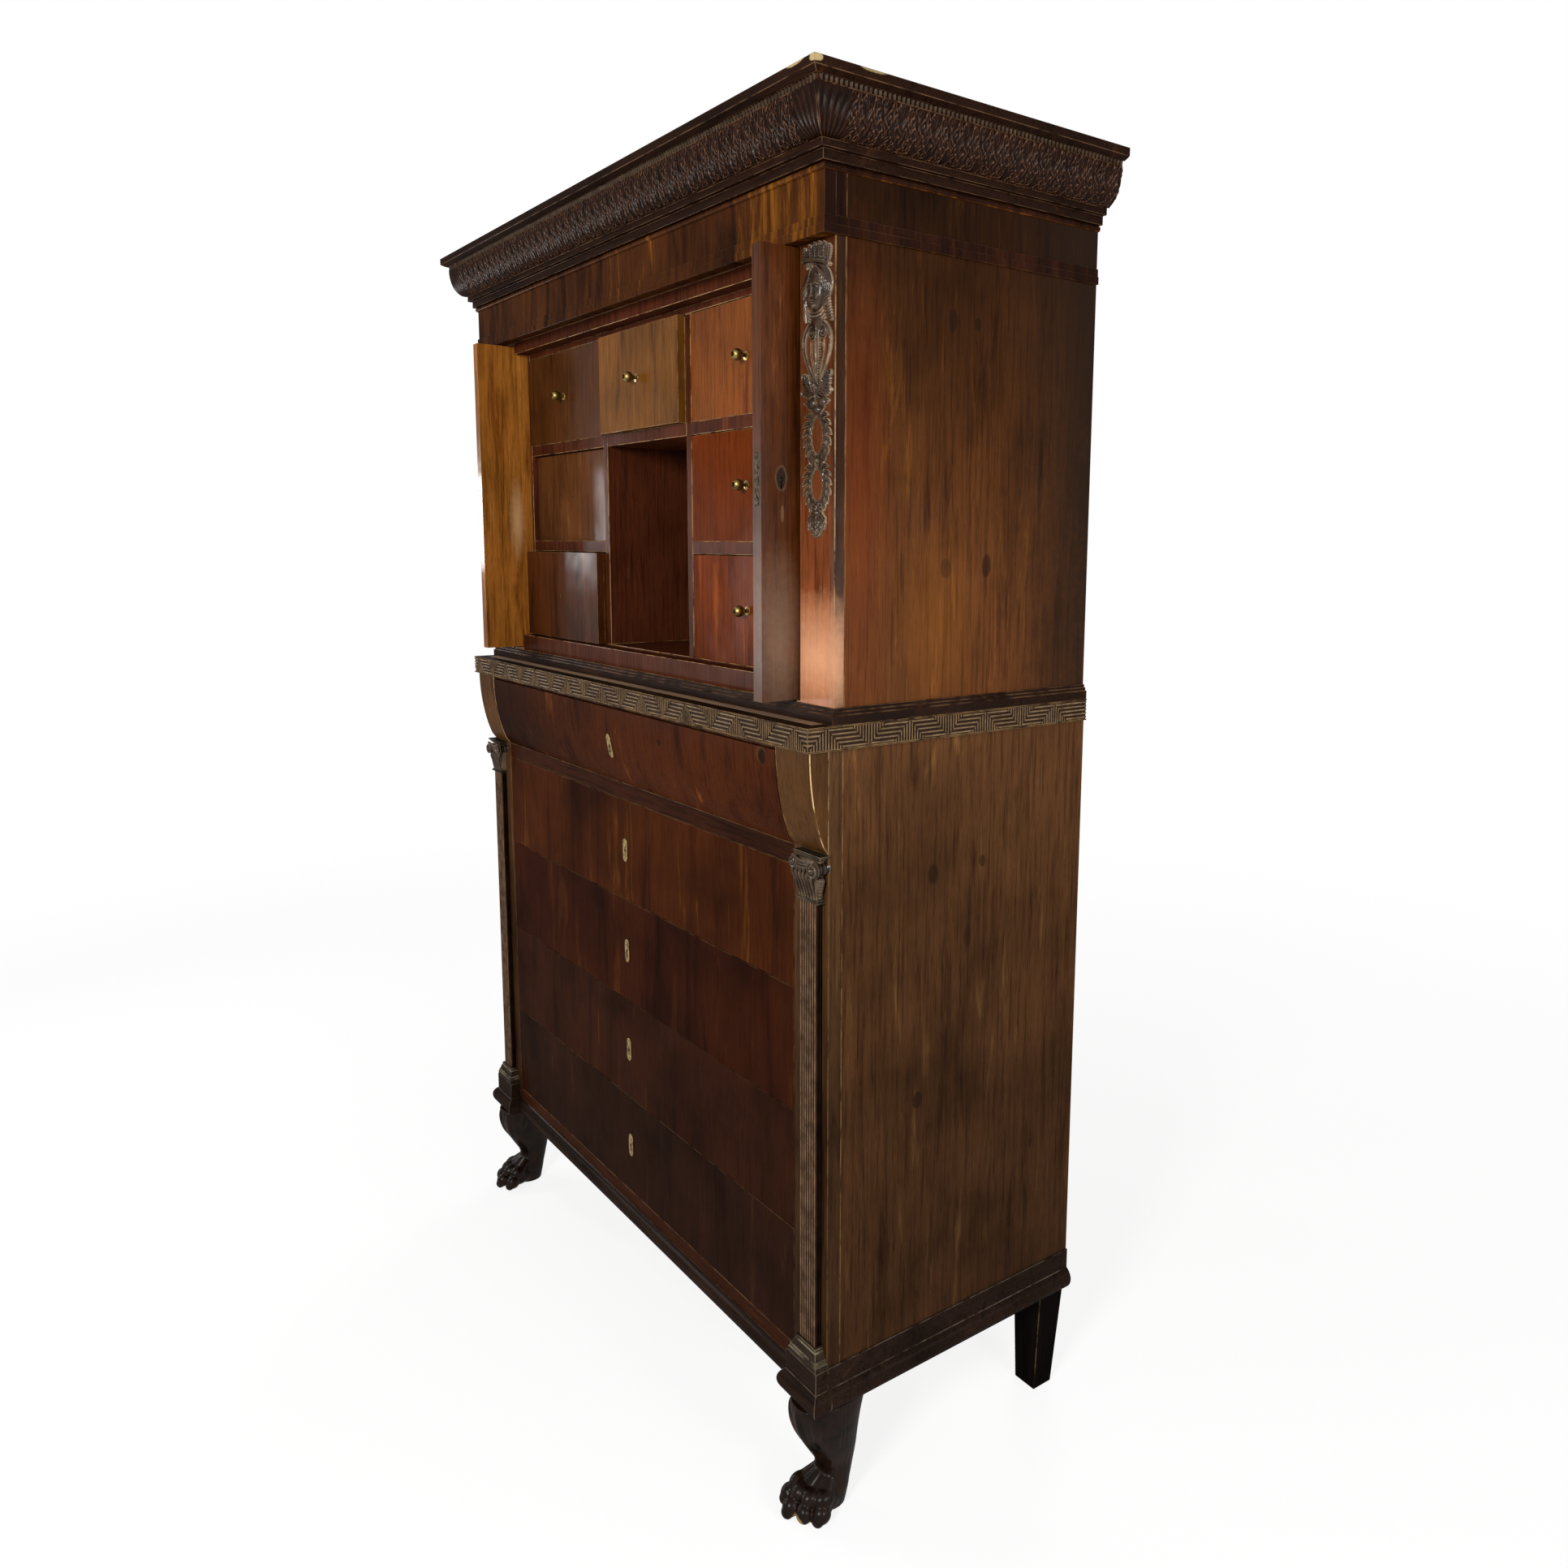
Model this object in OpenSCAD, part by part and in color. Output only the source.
/* [Case] */
// Width over the sides of the lower case
lower_w = 1290; // [1240:2:1380]
// How far each side of the upper case stands in from the lower case
upper_step = 4; // [2:1:24]
// Depth of the lower case, back to drawer fronts
lower_d = 533; // [510:1:560]
// Depth of the upper case, back to the face of its stiles
upper_d = 522; // [500:1:530]
// Thickness of the side boards of both cases
side_t = 22; // [18:1:28]
// Thickness of the back boards
back_t = 12; // [8:1:16]
// Number of boards in each back
back_boards = 6; // [3:1:9]
// Joint between two back boards
back_gap = 1; // [0.5:0.5:3]

/* [Feet and plinth] */
// Height of the feet under the plinth
foot_h = 189; // [165:1:230]
// Height of the round moulding at the bottom
torus_h = 38; // [30:1:46]
// Height of the flat band of the corner blocks
band_h = 35; // [29:1:46]
// Height of the rail under the bottom drawer
low_rail_h = 25; // [18:1:28]
// How far the flat band stands out from the side
band_out = 3; // [1:1:10]
// How far the round moulding stands out from the band
torus_out = 11; // [8:1:18]
// How far the corner blocks stand forward of the drawer fronts
block_out = 23; // [20:1:32]
// Width of the ankle of the paw feet
ankle_w = 60; // [50:1:70]
// Width of the paw across its toes
paw_w = 86; // [76:1:96]
// Width of the back feet at the floor
back_foot_w = 47; // [40:1:60]
// How much wider the back feet are at the top
back_foot_taper = 19; // [10:1:34]
// Depth of the back feet at the top
back_foot_d = 58; // [48:1:66]
// How far the rear face of the back feet leans in
back_foot_lean = 15; // [6:1:24]

/* [Lower case front] */
// Width of the corner posts
post_w = 87; // [80:1:96]
// Thickness of the corner posts and rails
post_t = 24; // [23:1:40]
// Height of the bottom long drawer front
drawer_h_1 = 197; // [170:1:240]
// Height of the second long drawer front from the bottom
drawer_h_2 = 195; // [170:1:240]
// Height of the third long drawer front from the bottom
drawer_h_3 = 200; // [170:1:240]
// Height of the fourth long drawer front from the bottom
drawer_h_4 = 193; // [170:1:240]
// Height of the rail under the cushion drawer
rail_h = 32; // [24:1:40]
// Height of the cushion drawer front
cushion_h = 146; // [120:1:180]
// Height of the strip over the cushion drawer
head_strip_h = 7; // [5:1:12]
// How far the cushion drawer swells forward
cushion_out = 34; // [20:1:38]
// Width of the reeded pilaster shafts
shaft_w = 42; // [36:1:50]
// How far the shafts stand out from the posts
shaft_out = 12; // [9:1:16]
// Number of grooves in each shaft
groove_count = 7; // [5:1:8]
// Height of the stepped pilaster bases
base_h = 31; // [24:1:42]
// Height of the scrolled pilaster capitals
capital_h = 73; // [68:1:90]

/* [Drawers] */
// Gap around the drawer fronts
front_gap = 1.5; // [1:0.5:2.5]
// Thickness of the long drawer fronts
long_front_t = 22; // [18:1:26]
// Thickness of the sides and backs of the long drawers
long_side_t = 14; // [10:1:18]
// Thickness of the drawer bottoms
bottom_t = 8; // [6:1:10]
// Thickness of the dust boards
dust_t = 16; // [12:1:20]
// Room over a drawer's sides
top_gap = 3; // [2:0.5:6]
// Space behind the long drawers
long_drawer_back = 60; // [40:1:90]
// Height of a brass keyhole plate
escutcheon_h = 45; // [38:1:56]
// Width of a brass keyhole plate
escutcheon_w = 17; // [14:1:22]

/* [Waist] */
// Height of the ribbed waist band
waist_h = 36; // [30:1:46]
// How far the waist band stands out from the sides
waist_out = 5.5; // [3:0.5:8]
// How far the waist band stands forward of the drawer fronts
waist_front = 42; // [41:1:48]
// Height of the moulding on top of the waist band
base_mould_h = 24; // [18:1:30]
// How far that moulding stands out from the upper case
base_mould_out = 8; // [6:1:13]

/* [Upper case] */
// Height of the opening between waist moulding and frieze
opening_h = 645; // [610:1:690]
// Width of the stiles beside the doors
stile_w = 84; // [80:1:95]
// Thickness of the stiles
stile_t = 18; // [15:1:22]
// Thickness of the floor and ceiling boards of the upper case
floor_t = 18; // [15:1:22]
// Height of the strips that guide the door pins
runner_h = 6; // [4:1:8]
// Height of the frieze with its lower moulding and bead
frieze_h = 90; // [70:1:110]
// How far the frieze stands forward of the stiles
frieze_out = 19; // [14:1:24]
// Height of the cornice over the frieze
cornice_h = 105; // [95:1:125]
// How far the cornice stands out from the frieze
cornice_out = 59; // [46:1:70]

/* [Doors] */
// Thickness of the door leaves
door_t = 22; // [18:1:24]
// Space behind an open door, in front of the back boards
pocket_back = 22; // [10:1:34]
// Gap beside an open door
door_gap = 3; // [2:0.5:5]
// Diameter of the brass pins that the doors turn on
pin_d = 8; // [6:1:9]
// Distance of the pins from the back edge of a door
pin_inset = 15; // [12:1:20]

/* [Nest of small drawers] */
// Depth of the nest's front behind the stiles
nest_back = 44; // [40:1:60]
// Thickness of the nest's outer sides
nest_side_t = 9; // [7:1:12]
// Thickness of the two uprights inside the nest
divider_t = 17; // [12:1:22]
// Width of the middle opening
middle_w = 306; // [260:2:340]
// Thickness of the shelves between the small drawers
shelf_t = 22; // [16:1:26]
// Height of the sill rail in front of the nest
sill_h = 34; // [30:1:38]
// Height of the head rail over the nest
head_rail_h = 17.5; // [12:0.5:24]
// Thickness of the sill and head rails
nest_rail_t = 27; // [16:1:30]
// Thickness of the small drawer fronts
small_front_t = 14; // [11:1:18]
// Thickness of the small drawers' sides
small_side_t = 8; // [6:1:10]
// Space behind the small drawers
small_drawer_back = 80; // [70:1:110]
// Diameter of a brass knob
knob_d = 19; // [15:1:22]
// How far the left top drawer stands out as it was left
out_a = 2; // [0:1:20]
// How far the middle top drawer stands out as it was left
out_b = 15; // [0:1:20]
// How far the left middle drawer was pushed in
in_d = 13; // [0:1:20]
// How far the left bottom drawer stands out as it was left
out_e = 19; // [0:1:20]

/* [Hidden] */

// Round work is cut with this many sides
$fn = 64;
// A cut runs this far past the face that it opens
cut = 1;
// Boards that meet inside one group stay this far apart
joint = 0.2;
// Margin past a solid for the prisms that trim it
reach = 100;

// Heights from the floor
z_band = foot_h + torus_h;
z_block = z_band + band_h;
z_chest = z_band + low_rail_h;
long_h = [drawer_h_1, drawer_h_2, drawer_h_3, drawer_h_4];
function stack(n) = n == 0 ? z_chest : stack(n - 1) + long_h[n - 1];
z_rail = stack(4);
z_cushion = z_rail + rail_h;
z_strip = z_cushion + cushion_h;
z_waist = z_strip + head_strip_h;
z_upper = z_waist + waist_h;
z_opening = z_upper + base_mould_h;
z_head = z_opening + opening_h;
z_cornice = z_head + frieze_h;
z_top = z_cornice + cornice_h;

// Half widths, and depths measured forward from the back
lower_half = lower_w / 2;
upper_half = lower_half - upper_step;
frieze_d = upper_d + frieze_out;
stile_in = upper_half - stile_w;
door_meet = 4;
door_l = stile_in - door_meet;
door_back_d = back_t + pocket_back;
door_front_d = door_back_d + door_l;
overall_d = max(door_front_d, frieze_d + cornice_out);
back_y = overall_d / 2;

// A board between two widths, two depths and two heights
module board(x0, x1, d0, d1, z0, z1) {
    translate([x0, back_y - d1, z0]) cube([x1 - x0, d1 - d0, z1 - z0]);
}

// The same piece on the right and on the left
module both_sides() {
    children();
    mirror([1, 0, 0]) children();
}

// A profile drawn as (depth, height) runs along X
module run_across(x0, x1) {
    translate([x0, back_y, 0]) mirror([0, 1, 0]) rotate([90, 0, 90]) linear_extrude(x1 - x0) children();
}

// A profile drawn as (width, height) runs forward from the back
module run_forward(d0, d1) {
    translate([0, back_y - d0, 0]) rotate([90, 0, 0]) linear_extrude(d1 - d0) children();
}

// A slab whose front and side edges carry one profile, drawn outward from zero
module moulded_slab(x0, x1, d0, d1, z0, z1) {
    intersection() {
        run_across(x0 - reach, x1 + reach) {
            translate([d0, z0]) square([d1 - d0, z1 - z0]);
            translate([d1, 0]) children();
        }
        run_forward(d0, d1 + reach) {
            translate([x0, z0]) square([x1 - x0, z1 - z0]);
            translate([x1, 0]) children();
            translate([x0, 0]) mirror([1, 0]) children();
        }
    }
}

// The prism that one mitred length is cut to, a joint away from the case: the front, or the right side
module mitre_front(half, depth, z0, z1) {
    translate([0, back_y, z0]) linear_extrude(z1 - z0)
        polygon([
            [-half - reach, -depth - reach], [half + reach, -depth - reach],
            [half + joint, -depth - joint], [-half - joint, -depth - joint]
        ]);
}
module mitre_side(half, depth, z0, z1) {
    translate([0, back_y, z0]) linear_extrude(z1 - z0)
        polygon([
            [half + joint, 0], [half + joint, -depth],
            [half + reach, joint - depth - reach], [half + reach, 0]
        ]);
}

// Three mitred lengths round the front and sides of a case: children draw the profile
module mitred_moulding(half, depth, z0, z1) {
    intersection() {
        moulded_slab(-half, half, 0, depth, z0, z1) children();
        mitre_front(half, depth, z0, z1);
    }
    both_sides() intersection() {
        moulded_slab(-half, half, 0, depth, z0, z1) children();
        mitre_side(half, depth, z0, z1);
    }
}

// Lower case
post_in = lower_half - post_w;
post_back_d = lower_d - post_t;
side_in = lower_half - side_t;
blade_d = lower_d - long_front_t - cut;
blade_w = 35;
guide_h = 20;
guide_w = 15;

module lower_sides() {
    color("#3a2118") both_sides() board(side_in, lower_half, 0, post_back_d, foot_h, z_waist);
}

// Back boards stand side by side between the sides
module boarded_back(half, z0, z1) {
    step = (2 * half + back_gap) / back_boards;
    for (i = [0 : back_boards - 1])
        board(-half + i * step, -half + (i + 1) * step - back_gap, 0, back_t, z0, z1);
}

module lower_back() {
    color("#5a4030") boarded_back(side_in, foot_h, z_waist);
}

// One dust board under each drawer; each long one is centred on the joint of two fronts
function dust_top(n) = n == 4 ? z_cushion : stack(n) + dust_t / 2;

module dust_boards() {
    color("#6a4a34") for (n = [0 : 4])
        board(-side_in, side_in, back_t, blade_d - blade_w - joint, dust_top(n) - dust_t, dust_top(n));
}

module drawer_guides() {
    color("#6a4a34") both_sides() for (n = [0 : 4])
        board(post_in - front_gap, post_in - front_gap + guide_w, back_t, blade_d - blade_w,
            dust_top(n), dust_top(n) + guide_h);
}

module corner_posts() {
    color("#3a2118") both_sides() board(post_in, lower_half, post_back_d, lower_d, foot_h, z_waist);
}

// The rail under the cushion drawer, the strip over it, the bottom rail and the blades behind the fronts
head_strip_out = 28;
module front_rails() {
    color("#45271b") {
        board(-post_in, post_in, blade_d - blade_w, lower_d, z_rail, z_cushion);
        board(-post_in, post_in, blade_d + joint, lower_d, foot_h, z_chest);
        board(-post_in, post_in, blade_d - blade_w, blade_d, foot_h, dust_top(0));
        board(-post_in, post_in, blade_d - blade_w, lower_d + head_strip_out, z_strip, z_waist);
        for (n = [1 : 3])
            board(-post_in, post_in, blade_d - blade_w, blade_d, dust_top(n) - dust_t, dust_top(n));
    }
}

// The cushion profile swells forward: a large arc that turns in faster near the foot
cushion_steps = 12;
function cushion_drop(t) = cushion_out * (0.55 * t * t + 0.45 * (1 - sqrt(1 - t * t)));
module cushion_profile(d_back, z0, z1) {
    polygon(concat(
        [[d_back, z0], [d_back, z1]],
        [for (i = [0 : cushion_steps])
            let (t = i / cushion_steps)
            [lower_d + cushion_out - cushion_drop(t), z1 - t * (z1 - z0)]]
    ));
}

module corbels() {
    color("#4a2a1c") both_sides() run_across(post_in, lower_half)
        cushion_profile(lower_d, z_cushion, z_waist);
}

// Pilasters: a stepped base, a grooved shaft and a scrolled capital
shaft_margin = 14.5;
shaft_x = lower_half - shaft_w / 2 - shaft_margin;
groove_r = shaft_w / groove_count / 4;
z_shaft = z_block + base_h;
z_capital = z_cushion - capital_h;

module pilaster_base() {
    steps = 3;
    step_h = base_h / steps;
    step_side = 5;
    step_front = 3.5;
    for (i = [0 : steps - 1])
        board(shaft_x - shaft_w / 2 - (steps - i) * step_side, shaft_x + shaft_w / 2 + (steps - i) * step_side,
            lower_d, lower_d + shaft_out + (steps - i) * step_front,
            z_block + i * step_h, z_block + (i + 1) * step_h);
}

module pilaster_shaft() {
    pitch = shaft_w / groove_count;
    difference() {
        board(shaft_x - shaft_w / 2, shaft_x + shaft_w / 2, lower_d, lower_d + shaft_out, z_shaft, z_capital);
        for (i = [0 : groove_count - 1])
            translate([shaft_x - shaft_w / 2 + (i + 0.5) * pitch, back_y - lower_d - shaft_out, z_shaft - cut])
                cylinder(r = groove_r, h = z_capital - z_shaft + 2 * cut);
    }
}

module pilasters() {
    color("#3c2419") both_sides() {
        pilaster_base();
        pilaster_shaft();
    }
}

// Capital: a bell under two scrolls and an abacus
module capital() {
    abacus_h = 0.17 * capital_h;
    scroll_r = 0.22 * capital_h;
    overlap = 2;
    scroll_z = z_capital + capital_h - abacus_h - scroll_r + overlap;
    abacus_out = 2 * shaft_out;
    abacus_side = 6;
    scroll_out = 1.7 * shaft_out;
    board(post_in + front_gap, lower_half + abacus_side, lower_d, lower_d + abacus_out,
        z_capital + capital_h - abacus_h, z_capital + capital_h);
    for (x = [post_in + front_gap + scroll_r, lower_half + overlap - scroll_r])
        translate([x, back_y - lower_d, scroll_z]) rotate([90, 0, 0]) cylinder(r = scroll_r, h = scroll_out);
    board(shaft_x - shaft_w / 2, shaft_x + shaft_w / 2, lower_d, lower_d + shaft_out + overlap, z_capital,
        z_capital + capital_h - abacus_h);
}

module capitals() {
    color("#3c2419") both_sides() capital();
}

// Plinth: a block over each front foot, and lower mouldings between and behind them
block_step = 9;
block_in = lower_half - post_w + block_step;
block_d = lower_d + block_out;
torus_r = torus_h / 2;
torus_cut = 0.5;

// Half round edge, flattened so that it stands out by a chosen amount
torus_steps = 16;
module torus_edge(z0, out) {
    r = (torus_r * torus_r + out * out) / (2 * out);
    swing = 2 * atan(out / torus_r);
    polygon([for (i = [0 : torus_steps])
        let (a = swing * (2 * i / torus_steps - 1))
        [out - r + r * cos(a), z0 + torus_r + r * sin(a)]]);
}

module plinth_blocks() {
    color("#2e1a14") both_sides() {
        moulded_slab(block_in, lower_half + band_out, lower_d, block_d, foot_h, z_band)
            torus_edge(foot_h, torus_out);
        board(block_in, lower_half + band_out, lower_d, block_d, z_band, z_block);
    }
}

module plinth_mouldings() {
    color("#2e1a14") {
        run_across(-block_in + torus_out + torus_cut, block_in - torus_out - torus_cut)
            translate([lower_d, 0]) torus_edge(foot_h, torus_out);
        both_sides() {
            run_forward(0, lower_d) translate([lower_half, 0]) {
                translate([0, foot_h]) square([band_out, torus_h + band_h]);
                translate([band_out, 0]) torus_edge(foot_h, torus_out);
            }
        }
    }
}

// Front feet: a hocked leg on a lion's paw, rings from the plinth down to the toes
foot_x = lower_half - 0.62 * ankle_w;
foot_d = lower_d - 0.54 * ankle_w;
ring_sides = 20;
// Each ring: share of the foot's height, centre forward of the leg's line, half width, half depth
leg_rings = [
    [1.00, 0.03 * ankle_w, 0.70 * ankle_w, 1.06 * ankle_w],
    [0.88, 0.13 * ankle_w, 0.72 * ankle_w, 1.02 * ankle_w],
    [0.76, 0.07 * ankle_w, 0.68 * ankle_w, 0.88 * ankle_w],
    [0.62, -0.07 * ankle_w, 0.58 * ankle_w, 0.70 * ankle_w],
    [0.48, -0.13 * ankle_w, 0.50 * ankle_w, 0.56 * ankle_w],
    [0.34, -0.13 * ankle_w, 0.50 * ankle_w, 0.52 * ankle_w],
    [0.22, 0.07 * ankle_w, 0.44 * paw_w, 0.70 * ankle_w],
    [0.11, 0.23 * ankle_w, 0.49 * paw_w, 0.76 * ankle_w],
    [0.00, 0.23 * ankle_w, 0.46 * paw_w, 0.72 * ankle_w]
];
leg_top = len(leg_rings) - 1;
function ring_point(r, k) = [
    r[2] * cos(k * 360 / ring_sides),
    -r[1] + r[3] * sin(k * 360 / ring_sides),
    r[0] * foot_h
];
module leg() {
    points = [for (r = leg_rings) for (k = [0 : ring_sides - 1]) ring_point(r, k)];
    polyhedron(points, concat(
        [[for (k = [ring_sides - 1 : -1 : 0]) k]],
        [[for (k = [0 : ring_sides - 1]) leg_top * ring_sides + k]],
        [for (i = [0 : leg_top - 1]) for (k = [0 : ring_sides - 1])
            let (a = i * ring_sides + k, b = i * ring_sides + (k + 1) % ring_sides)
            [a, b, b + ring_sides]],
        [for (i = [0 : leg_top - 1]) for (k = [0 : ring_sides - 1])
            let (a = i * ring_sides + k, b = i * ring_sides + (k + 1) % ring_sides)
            [a, b + ring_sides, a + ring_sides]]
    ));
}

// Four toes side by side, the middle two further forward, cut flat at the floor
toe_count = 4;
toe_r = paw_w / toe_count / 2 + 1;
knuckle_d = 32;
toe_tip_d = 66;
module toe(i) {
    place = i - (toe_count - 1) / 2;
    back = 5 * place * place;
    translate([place * (paw_w - 2 * toe_r) / (toe_count - 1), 0, 0]) hull() {
        translate([0, back - knuckle_d, toe_r * 2.8]) sphere(r = toe_r, $fn = 16);
        translate([0, back - toe_tip_d, toe_r * 0.9]) sphere(r = toe_r, $fn = 16);
    }
}

module paw_foot() {
    color("#2a1712") translate([foot_x, back_y - foot_d, 0]) intersection() {
        union() {
            leg();
            for (i = [0 : toe_count - 1]) toe(i);
        }
        translate([-paw_w, -2 * paw_w, 0]) cube([2 * paw_w, 4 * paw_w, foot_h]);
    }
}

module paw_foot_right() {
    paw_foot();
}

module paw_foot_left() {
    mirror([1, 0, 0]) paw_foot();
}

// Back feet taper on both sides and at the rear, a margin inside the case's side
foot_margin = 5;
module back_foot() {
    outer = lower_half - foot_margin;
    narrow = back_foot_taper / 2;
    inner = outer - narrow - back_foot_w;
    intersection() {
        run_forward(0, back_foot_d) polygon([
            [inner, 0], [outer - narrow, 0], [outer, foot_h], [inner - narrow, foot_h]
        ]);
        run_across(inner - narrow, outer) polygon([
            [back_foot_lean, 0], [back_foot_d, 0], [back_foot_d, foot_h], [0, foot_h]
        ]);
    }
}

module back_feet() {
    color("#221410") both_sides() back_foot();
}

// Top of the lower case with the ribbed waist band round it
waist_t = 26;
module lower_top() {
    color("#4a2a1c")
        board(-lower_half - waist_out + waist_t, lower_half + waist_out - waist_t, 0,
            lower_d + waist_front - waist_t, z_waist, z_upper);
}

rib_count = 5;
rib_out = 1.5;
module waist_band() {
    half = lower_half + waist_out - waist_t;
    pitch = waist_h / rib_count;
    rib_w = 0.48 * pitch;
    color("#33201a") mitred_moulding(half, lower_d + waist_front - waist_t, z_waist, z_upper) {
        translate([0, z_waist]) square([waist_t - rib_out, waist_h]);
        for (i = [0 : rib_count - 1])
            translate([0, z_waist + (i + 0.5) * pitch - rib_w / 2]) square([waist_t, rib_w]);
    }
}

// Upper case
upper_in = upper_half - side_t;
stile_back_d = upper_d - stile_t;
floor_sunk = 4;
z_floor = z_opening - floor_sunk;
z_ceiling = z_head + runner_h;

module upper_sides() {
    color("#5b3218") both_sides() board(upper_in, upper_half, 0, stile_back_d, z_upper, z_top - floor_t);
}

module upper_back() {
    color("#5a4030") boarded_back(upper_in, z_upper, z_top - floor_t);
}

// Floor and ceiling reach between the sides, and their front edges carry the stiles
module deck(z) {
    board(-upper_in, upper_in, back_t, stile_back_d - joint, z, z + floor_t);
    board(-upper_half, upper_half, stile_back_d, upper_d, z, z + floor_t);
}

module upper_decks() {
    color("#4a2a1c") {
        deck(z_floor - floor_t);
        deck(z_ceiling);
    }
}

// A plain fascia under two small steps
module base_moulding() {
    step_h = base_mould_h * 0.21;
    color("#33201a") mitred_moulding(upper_half, upper_d, z_upper, z_opening) {
        translate([0, z_upper]) square([base_mould_out, base_mould_h - 2 * step_h]);
        translate([0, z_opening - 2 * step_h]) square([base_mould_out * 0.66, step_h]);
        translate([0, z_opening - step_h]) square([base_mould_out * 0.33, step_h]);
    }
}

module stiles() {
    color("#7a3d20") both_sides() board(stile_in, upper_half, stile_back_d, upper_d, z_floor, z_ceiling);
}

// Carved mount on each stile: crown, head, lyre, spray, two wreaths and a bell flower.
// Places are shares of its height, measured down from its top
mount_x = upper_half - stile_w / 2;
mount_w = 0.78 * stile_w;
mount_t = 10;
mount_h = 0.61 * opening_h;
mount_wide = 1.06 * mount_w;
head_r = 0.41 * mount_w;
head_at = 0.127;
wreath_band = 0.21 * mount_w;
crown_foot = 0.13;
face_top = 0.046;
face_foot = 0.22;
neck_top = 0.205;
neck_foot = 0.266;
neck_w = 0.55 * mount_w;
scroll_top = 0.245;
scroll_foot = 0.338;
lyre_top = 0.286;
lyre_foot = 0.44;
lyre_foot_w = 0.24 * mount_w;
spray_top = 0.422;
spray_foot = 0.532;
berry_top = 0.496;
berry_foot = 0.557;
berry_w = 0.61 * mount_w;
wreath_1 = 0.537;
wreath_2 = 0.727;
wreath_foot = 0.9;
wreath_1_foot = 0.729;
bell_top = 0.895;
bell_w = 0.64 * mount_w;
function oval(w, h, sides = 28) = [
    for (k = [0 : sides - 1]) [w / 2 * cos(k * 360 / sides), h / 2 * sin(k * 360 / sides)]
];
// A flat carved piece that reaches between two shares of the mount's height
module carved(top, bottom) {
    translate([mount_x, back_y - upper_d, z_head - mount_h * (top + bottom) / 2]) rotate([90, 0, 0])
        linear_extrude(mount_t) children();
}
module carved_oval(top, bottom, w) {
    carved(top, bottom) polygon(oval(w, mount_h * (bottom - top)));
}
module wreath(top, bottom) {
    h = mount_h * (bottom - top);
    carved(top, bottom) difference() {
        polygon(oval(mount_w, h));
        polygon(oval(mount_w - 2 * wreath_band, h - 2 * wreath_band));
    }
}
module applique() {
    carved(0, crown_foot) intersection() {
        polygon(oval(mount_wide, mount_h * crown_foot));
        translate([-mount_w, 0]) square([2 * mount_w, mount_h * crown_foot]);
    }
    translate([mount_x, back_y - upper_d, z_head - head_at * mount_h]) intersection() {
        sphere(r = head_r);
        rotate([90, 0, 0]) cylinder(r = head_r, h = head_r);
    }
    carved_oval(face_top, face_foot, mount_wide);
    carved(neck_top, neck_foot) square([neck_w, mount_h * (neck_foot - neck_top)], center = true);
    carved_oval(scroll_top, scroll_foot, mount_w);
    lyre_half = mount_h * (lyre_foot - lyre_top) / 2;
    carved(lyre_top, lyre_foot) polygon([
        [-mount_w / 2, lyre_half], [mount_w / 2, lyre_half],
        [lyre_foot_w / 2, -lyre_half], [-lyre_foot_w / 2, -lyre_half]
    ]);
    carved_oval(spray_top, spray_foot, mount_wide);
    carved_oval(berry_top, berry_foot, berry_w);
    wreath(wreath_1, wreath_1_foot);
    wreath(wreath_2, wreath_foot);
    carved_oval(bell_top, 1, bell_w);
}

module applique_right() {
    color("#33241c") applique();
}

module applique_left() {
    color("#33241c") mirror([1, 0, 0]) applique();
}

// Frieze board, the small moulding at its foot and the bead over it
module frieze() {
    mould_h = 24;
    mould_out = 4;
    bead_r = 4.5;
    color("#7a4a1e") {
        board(-upper_half, upper_half, upper_d + joint, frieze_d, z_head, z_top - floor_t);
        board(-upper_half, upper_half, stile_back_d, upper_d, z_ceiling + floor_t, z_top - floor_t);
    }
    color("#45271b") mitred_moulding(upper_half, frieze_d, z_head, z_head + mould_h) {
        translate([0, z_head]) square([mould_out, mould_h / 2]);
        translate([0, z_head + mould_h / 2]) square([0.62 * mould_out, mould_h / 2]);
    }
    color("#45271b") mitred_moulding(upper_half, frieze_d, z_cornice - 2 * bead_r, z_cornice)
        intersection() {
            translate([0, z_cornice - bead_r]) circle(r = bead_r);
            translate([0, z_cornice - 2 * bead_r]) square([bead_r, 2 * bead_r]);
        }
}

// Cornice profile from the bead upwards: band, fillet, carved ovolo, rope edge and fascia
band_top = 0.15;
fillet_top = 0.27;
ovolo_top = 0.66;
rope_top = 0.85;
ovolo_steps = 8;
module cornice_profile() {
    h = cornice_h;
    band_step = 0.15 * cornice_out;
    ovolo_h = (ovolo_top - fillet_top) * h;
    ovolo_in = 0.28 * cornice_out;
    ovolo_out = 0.74 * cornice_out;
    polygon(concat(
        [[0, 0], [band_step, 0], [band_step, band_top * h],
            [ovolo_in, band_top * h], [ovolo_in, fillet_top * h]],
        [for (i = [1 : ovolo_steps])
            let (a = 90 * i / ovolo_steps)
            [ovolo_in + (ovolo_out - ovolo_in) * sin(a), fillet_top * h + ovolo_h * (1 - cos(a))]],
        [[0.76 * cornice_out, ovolo_top * h], [0.76 * cornice_out, rope_top * h],
            [cornice_out, (rope_top + 0.02) * h], [cornice_out, h], [0, h]]
    ));
}

module cornice() {
    color("#2c1a14") mitred_moulding(upper_half, frieze_d, z_cornice, z_top)
        translate([0, z_cornice]) cornice_profile();
}

module top_board() {
    color("#3a281e") board(-upper_half, upper_half, 0, frieze_d, z_top - floor_t, z_top);
}

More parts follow.
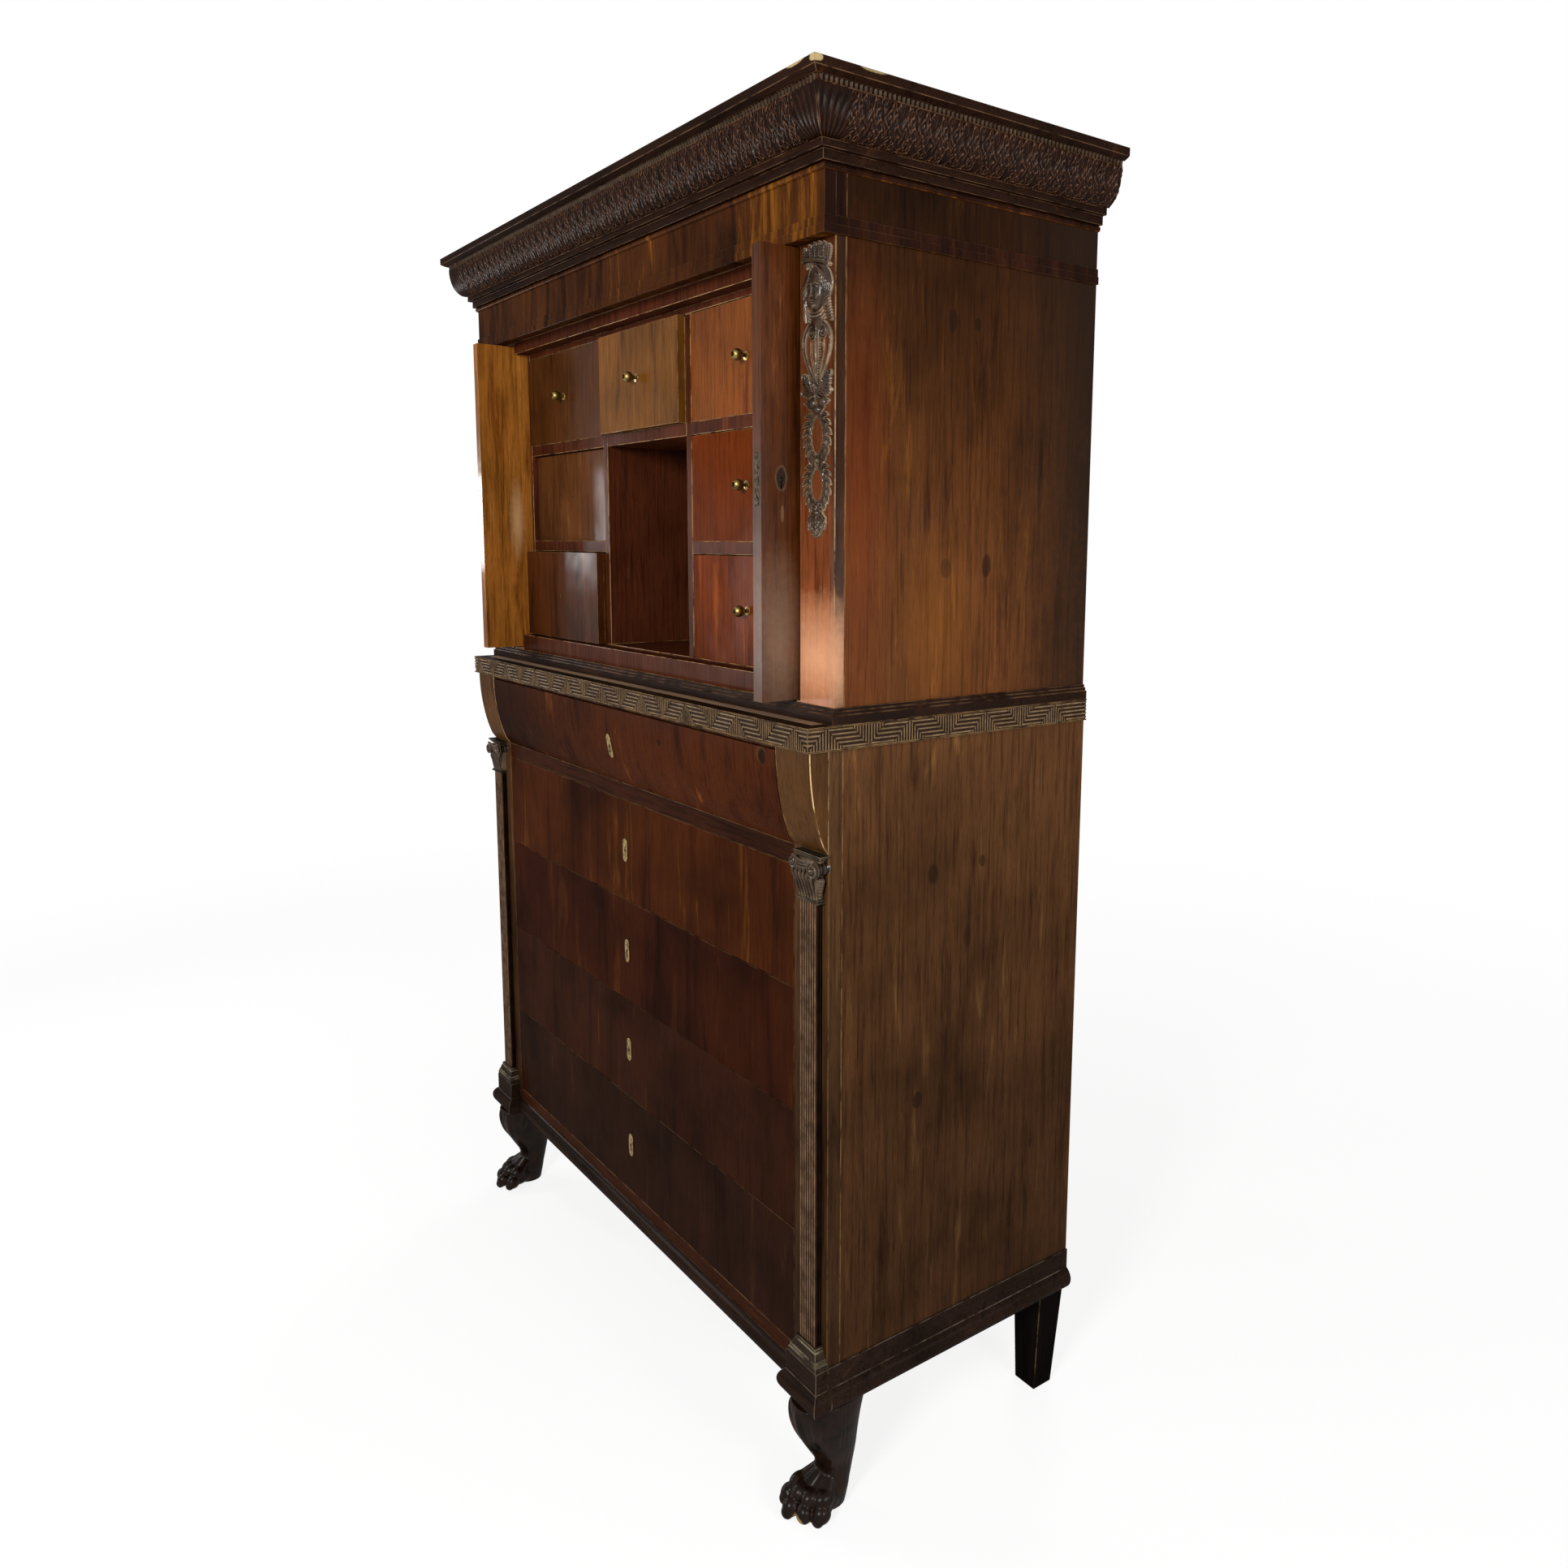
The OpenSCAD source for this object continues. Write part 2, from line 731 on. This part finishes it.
// Doors stand open in their pockets between the nest and the stiles
door_out = stile_in - door_gap;
door_in = door_out - door_t;
door_rub = 1.5;
door_z0 = z_floor + runner_h + door_rub;
door_z1 = z_head - door_rub;
pin_x = door_out - door_t / 2;
pin_d_rest = door_back_d + pin_inset;
pin_deep = 20;
seat_gap = 0.3;
pin_reach = door_z0 - z_floor - seat_gap;
lock_z = z_opening + 0.499 * opening_h;
lock_in = 35;
lock_d = door_front_d - lock_in;
lock_case_l = 50;
lock_case_h = 76;
lock_case_t = 12;
door_key_r = 4;
door_key_drop = 14;

module keyhole(r, drop) {
    circle(r = r, $fn = 32);
    translate([-r / 2, -drop]) square([r, drop]);
}

module door_leaf() {
    difference() {
        board(door_in, door_out, door_back_d, door_front_d, door_z0, door_z1);
        for (z = [door_z0 - cut, door_z1 - pin_deep])
            translate([pin_x, back_y - pin_d_rest, z]) cylinder(d = pin_d, h = pin_deep + cut);
    }
}

module door_left() {
    color("#6b3b1c") mirror([1, 0, 0]) door_leaf();
}

// The right leaf holds the lock, so its keyhole runs through it
module door_right() {
    color("#4a2a1c") difference() {
        door_leaf();
        translate([door_in - cut, back_y - lock_d, lock_z]) rotate([90, 0, 90])
            linear_extrude(door_t + 2 * cut) keyhole(door_key_r, door_key_drop);
        door_lock_case(lock_case_t + 2 * joint, cut);
    }
}

// A lock let into the free edge of the right leaf
module door_lock_case(t, past) {
    board(pin_x - t / 2, pin_x + t / 2, door_front_d - lock_case_l, door_front_d + past,
        lock_z - lock_case_h / 2, lock_z + lock_case_h / 2);
}

module door_lock() {
    color("#a8843c") difference() {
        door_lock_case(lock_case_t, 0);
        translate([door_in - cut, back_y - lock_d, lock_z]) rotate([90, 0, 90])
            linear_extrude(door_t + 2 * cut) keyhole(door_key_r, door_key_drop);
    }
}

// Brass pins at the back corners turn and slide in the grooves between the runners
module door_pins() {
    translate([pin_x, back_y - pin_d_rest, door_z0 - pin_reach]) cylinder(d = pin_d, h = pin_reach + pin_deep);
    translate([pin_x, back_y - pin_d_rest, door_z1 - pin_deep]) cylinder(d = pin_d, h = pin_reach + pin_deep);
}

module door_pins_right() {
    color("#a8843c") door_pins();
}

module door_pins_left() {
    color("#a8843c") mirror([1, 0, 0]) door_pins();
}

// Strips on the floor and under the ceiling leave a groove for the pins
pin_play = 2;
module door_runners() {
    groove = pin_d + pin_play;
    color("#5a3a24") both_sides() for (z = [z_floor, z_ceiling - runner_h]) {
        board(nest_half, pin_x - groove / 2, back_t, upper_d, z, z + runner_h);
        board(pin_x + groove / 2, stile_in, back_t, upper_d, z, z + runner_h);
    }
}

// Nest of small drawers, set back between the doors
pocket_gap = 4;
nest_half = door_in - pocket_gap;
nest_d = upper_d - nest_back;
nest_in = nest_half - nest_side_t;
middle_half = middle_w / 2;
column_in = middle_half + divider_t;
sill_lip = 3;
z_nest = z_floor + sill_h + sill_lip;
nest_board_t = 12;
z_nest_top = z_head - head_rail_h - nest_board_t;
small_h = (z_nest_top - z_nest - 2 * shelf_t) / 3;
nest_clear = 8;
nest_back_t = 8;
nest_back_d = back_t + nest_clear;
shelf_d = nest_back_d + nest_back_t;
rail_gap = 2;
rail_front_d = nest_d + rail_gap + nest_rail_t;

module nest_case() {
    color("#4f2d1b") {
        both_sides() {
            board(nest_in, nest_half, shelf_d, nest_d, z_floor, z_ceiling);
            board(middle_half, column_in, shelf_d, nest_d, z_nest + joint, z_nest_top - joint);
            for (n = [0 : 1])
                board(column_in + joint, nest_in - joint, shelf_d, nest_d,
                    z_nest + (n + 1) * small_h + n * shelf_t, z_nest + (n + 1) * (small_h + shelf_t));
        }
        board(-middle_half + joint, middle_half - joint, shelf_d, nest_d,
            z_nest + 2 * small_h + shelf_t, z_nest + 2 * (small_h + shelf_t));
        board(-nest_in + joint, nest_in - joint, shelf_d, nest_d, z_nest - nest_board_t, z_nest);
        board(-nest_in + joint, nest_in - joint, shelf_d, nest_d, z_nest_top, z_nest_top + nest_board_t);
        board(-nest_half, nest_half, nest_back_d, shelf_d - joint, z_floor, z_ceiling);
        board(-nest_half, nest_half, nest_d + joint, rail_front_d, z_floor, z_floor + sill_h);
        board(-nest_half, nest_half, nest_d + joint, rail_front_d, z_nest_top + nest_board_t, z_ceiling);
    }
}

// A drawer box of four boards behind a front, from one depth to another
module drawer_box(x0, x1, d0, d1, z0, z1, t) {
    lift = 0.4 * bottom_t;
    board(x0, x0 + t, d0, d1, z0, z1);
    board(x1 - t, x1, d0, d1, z0, z1);
    board(x0 + t + joint, x1 - t - joint, d0, d0 + t, z0, z1);
    board(x0 + t + joint, x1 - t - joint, d0 + t + joint, d1, z0 + lift, z0 + lift + bottom_t);
}

// Long drawers
long_half = post_in - front_gap;
box_half = long_half - front_gap;
long_front_d = lower_d - long_front_t;
lock_w = 66;
lock_h = 44;
lock_t = 11;
function long_z(n) = n == 4 ? z_cushion : stack(n);
function long_top(n) = n == 4 ? z_strip : stack(n + 1);
function key_z(n) = (long_z(n) + long_top(n)) / 2;
function box_top(n) = n == 4 ? z_strip - top_gap : stack(n + 1) - dust_t / 2 - top_gap;

plate_t = 1.5;

// The keyhole at one drawer's lock, from behind the front to past the plate
drawer_key_r = 3;
drawer_key_drop = 12;
module keyway(n) {
    translate([0, back_y - long_front_d + cut, key_z(n)]) rotate([90, 0, 0])
        linear_extrude(long_front_t + cushion_out + plate_t + 2 * cut) keyhole(drawer_key_r, drawer_key_drop);
}

// The pocket for the lock and the keyhole, cut in a front
module lock_seat(n) {
    board(-lock_w / 2 - joint, lock_w / 2 + joint, long_front_d - cut, long_front_d + lock_t + joint,
        key_z(n) - lock_h / 2 - joint, key_z(n) + lock_h / 2 + joint);
    keyway(n);
}

module long_front(n) {
    color("#4b2717") difference() {
        board(-long_half, long_half, long_front_d, lower_d, long_z(n) + front_gap / 2, long_top(n) - front_gap / 2);
        lock_seat(n);
    }
}

module long_box(n) {
    color("#7c5a3c") drawer_box(-box_half, box_half, long_drawer_back, long_front_d,
        dust_top(n), box_top(n), long_side_t);
}

// A brass keyhole plate's outline with rounded ends, extruded forward
module plate_outline(n, d0, d1) {
    straight = escutcheon_h - escutcheon_w;
    translate([0, back_y - d0, key_z(n)]) rotate([90, 0, 0]) linear_extrude(d1 - d0) {
        square([escutcheon_w, straight], center = true);
        for (s = [-1, 1]) translate([0, s * straight / 2]) circle(d = escutcheon_w);
    }
}

module lock_case(n) {
    board(-lock_w / 2, lock_w / 2, long_front_d, long_front_d + lock_t,
        key_z(n) - lock_h / 2, key_z(n) + lock_h / 2);
}

module long_lock(n) {
    color("#a8843c") difference() {
        union() {
            plate_outline(n, lower_d, lower_d + plate_t);
            lock_case(n);
        }
        keyway(n);
    }
}

// Cushion drawer: the swelled front runs between the corbels
module cushion_front() {
    color("#4b2717") difference() {
        run_across(-long_half, long_half)
            cushion_profile(long_front_d, z_cushion + front_gap / 2, z_strip - front_gap / 2);
        lock_seat(4);
    }
}

module cushion_box() {
    long_box(4);
}

module cushion_lock() {
    color("#a8843c") difference() {
        union() {
            intersection() {
                plate_outline(4, lower_d, lower_d + cushion_out);
                difference() {
                    run_across(-escutcheon_w, escutcheon_w) translate([plate_t, 0])
                        cushion_profile(lower_d, z_cushion + front_gap / 2, z_strip - front_gap / 2);
                    run_across(-2 * escutcheon_w, 2 * escutcheon_w)
                        cushion_profile(lower_d - cut, z_cushion + front_gap / 2, z_strip - front_gap / 2);
                }
            }
            lock_case(4);
        }
        keyway(4);
    }
}

// Small drawers: letter, column from the left, row from the bottom, how far out
small_out = [out_a, out_b, 0, -in_d, out_e, 0, 0];
small_column = [-1, 0, 1, -1, -1, 1, 1];
small_row = [2, 2, 2, 1, 0, 1, 0];
stud_r = 0.13 * knob_d;
function small_x0(i) = small_column[i] == -1 ? -nest_in : small_column[i] == 0 ? -middle_half : column_in;
function small_x1(i) = small_column[i] == -1 ? -column_in : small_column[i] == 0 ? middle_half : nest_in;
function small_z(i) = z_nest + small_row[i] * (small_h + shelf_t);
function small_face(i) = nest_d + small_out[i];
function small_mid(i) = (small_x0(i) + small_x1(i)) / 2;

module small_drawer(i) {
    gap = front_gap;
    face = small_face(i);
    color("#6a2f18") difference() {
        board(small_x0(i) + gap, small_x1(i) - gap, face - small_front_t, face,
            small_z(i), small_z(i) + small_h - gap);
        translate([small_mid(i), back_y - face + small_front_t + cut, small_z(i) + small_h / 2])
            rotate([90, 0, 0]) cylinder(r = stud_r, h = small_front_t + 2 * cut, $fn = 32);
    }
    color("#8a6844") drawer_box(small_x0(i) + gap, small_x1(i) - gap,
        small_drawer_back + small_out[i], face - small_front_t - joint,
        small_z(i), small_z(i) + small_h - top_gap, small_side_t);
}

// A turned brass ball on a neck, a rose and a stud with its nut inside the drawer
module knob(i) {
    rose_r = 0.42 * knob_d;
    rose_t = 0.08 * knob_d;
    neck_r = 0.16 * knob_d;
    neck_l = 0.37 * knob_d;
    nut_r = 0.26 * knob_d;
    nut_t = 0.16 * knob_d;
    ball_r = knob_d / 2;
    color("#b08a40") translate([small_mid(i), back_y - small_face(i), small_z(i) + small_h / 2])
        rotate([90, 0, 0]) {
            translate([0, 0, -small_front_t]) cylinder(r = stud_r, h = small_front_t + neck_l, $fn = 32);
            translate([0, 0, -small_front_t - nut_t]) cylinder(r = nut_r, h = nut_t);
            cylinder(r = rose_r, h = rose_t);
            cylinder(r = neck_r, h = neck_l + ball_r);
            translate([0, 0, neck_l + ball_r]) sphere(r = ball_r);
        }
}

lower_sides();
lower_back();
dust_boards();
drawer_guides();
corner_posts();
front_rails();
corbels();
pilasters();
capitals();
plinth_blocks();
plinth_mouldings();
paw_foot_left();
paw_foot_right();
back_feet();
lower_top();
waist_band();
upper_sides();
upper_back();
upper_decks();
base_moulding();
stiles();
applique_left();
applique_right();
frieze();
cornice();
top_board();
nest_case();
door_runners();
long_front(0);  // long_front_1
long_box(0);  // long_box_1
long_lock(0);  // long_lock_1
long_front(1);  // long_front_2
long_box(1);  // long_box_2
long_lock(1);  // long_lock_2
long_front(2);  // long_front_3
long_box(2);  // long_box_3
long_lock(2);  // long_lock_3
long_front(3);  // long_front_4
long_box(3);  // long_box_4
long_lock(3);  // long_lock_4
cushion_front();
cushion_box();
cushion_lock();
small_drawer(0);  // small_drawer_a
small_drawer(1);  // small_drawer_b
small_drawer(2);  // small_drawer_c
small_drawer(3);  // small_drawer_d
small_drawer(4);  // small_drawer_e
small_drawer(5);  // small_drawer_f
small_drawer(6);  // small_drawer_g
knob(0);  // knob_a
knob(1);  // knob_b
knob(2);  // knob_c
knob(5);  // knob_f
knob(6);  // knob_g
door_left();
door_right();
door_lock();
door_pins_left();
door_pins_right();
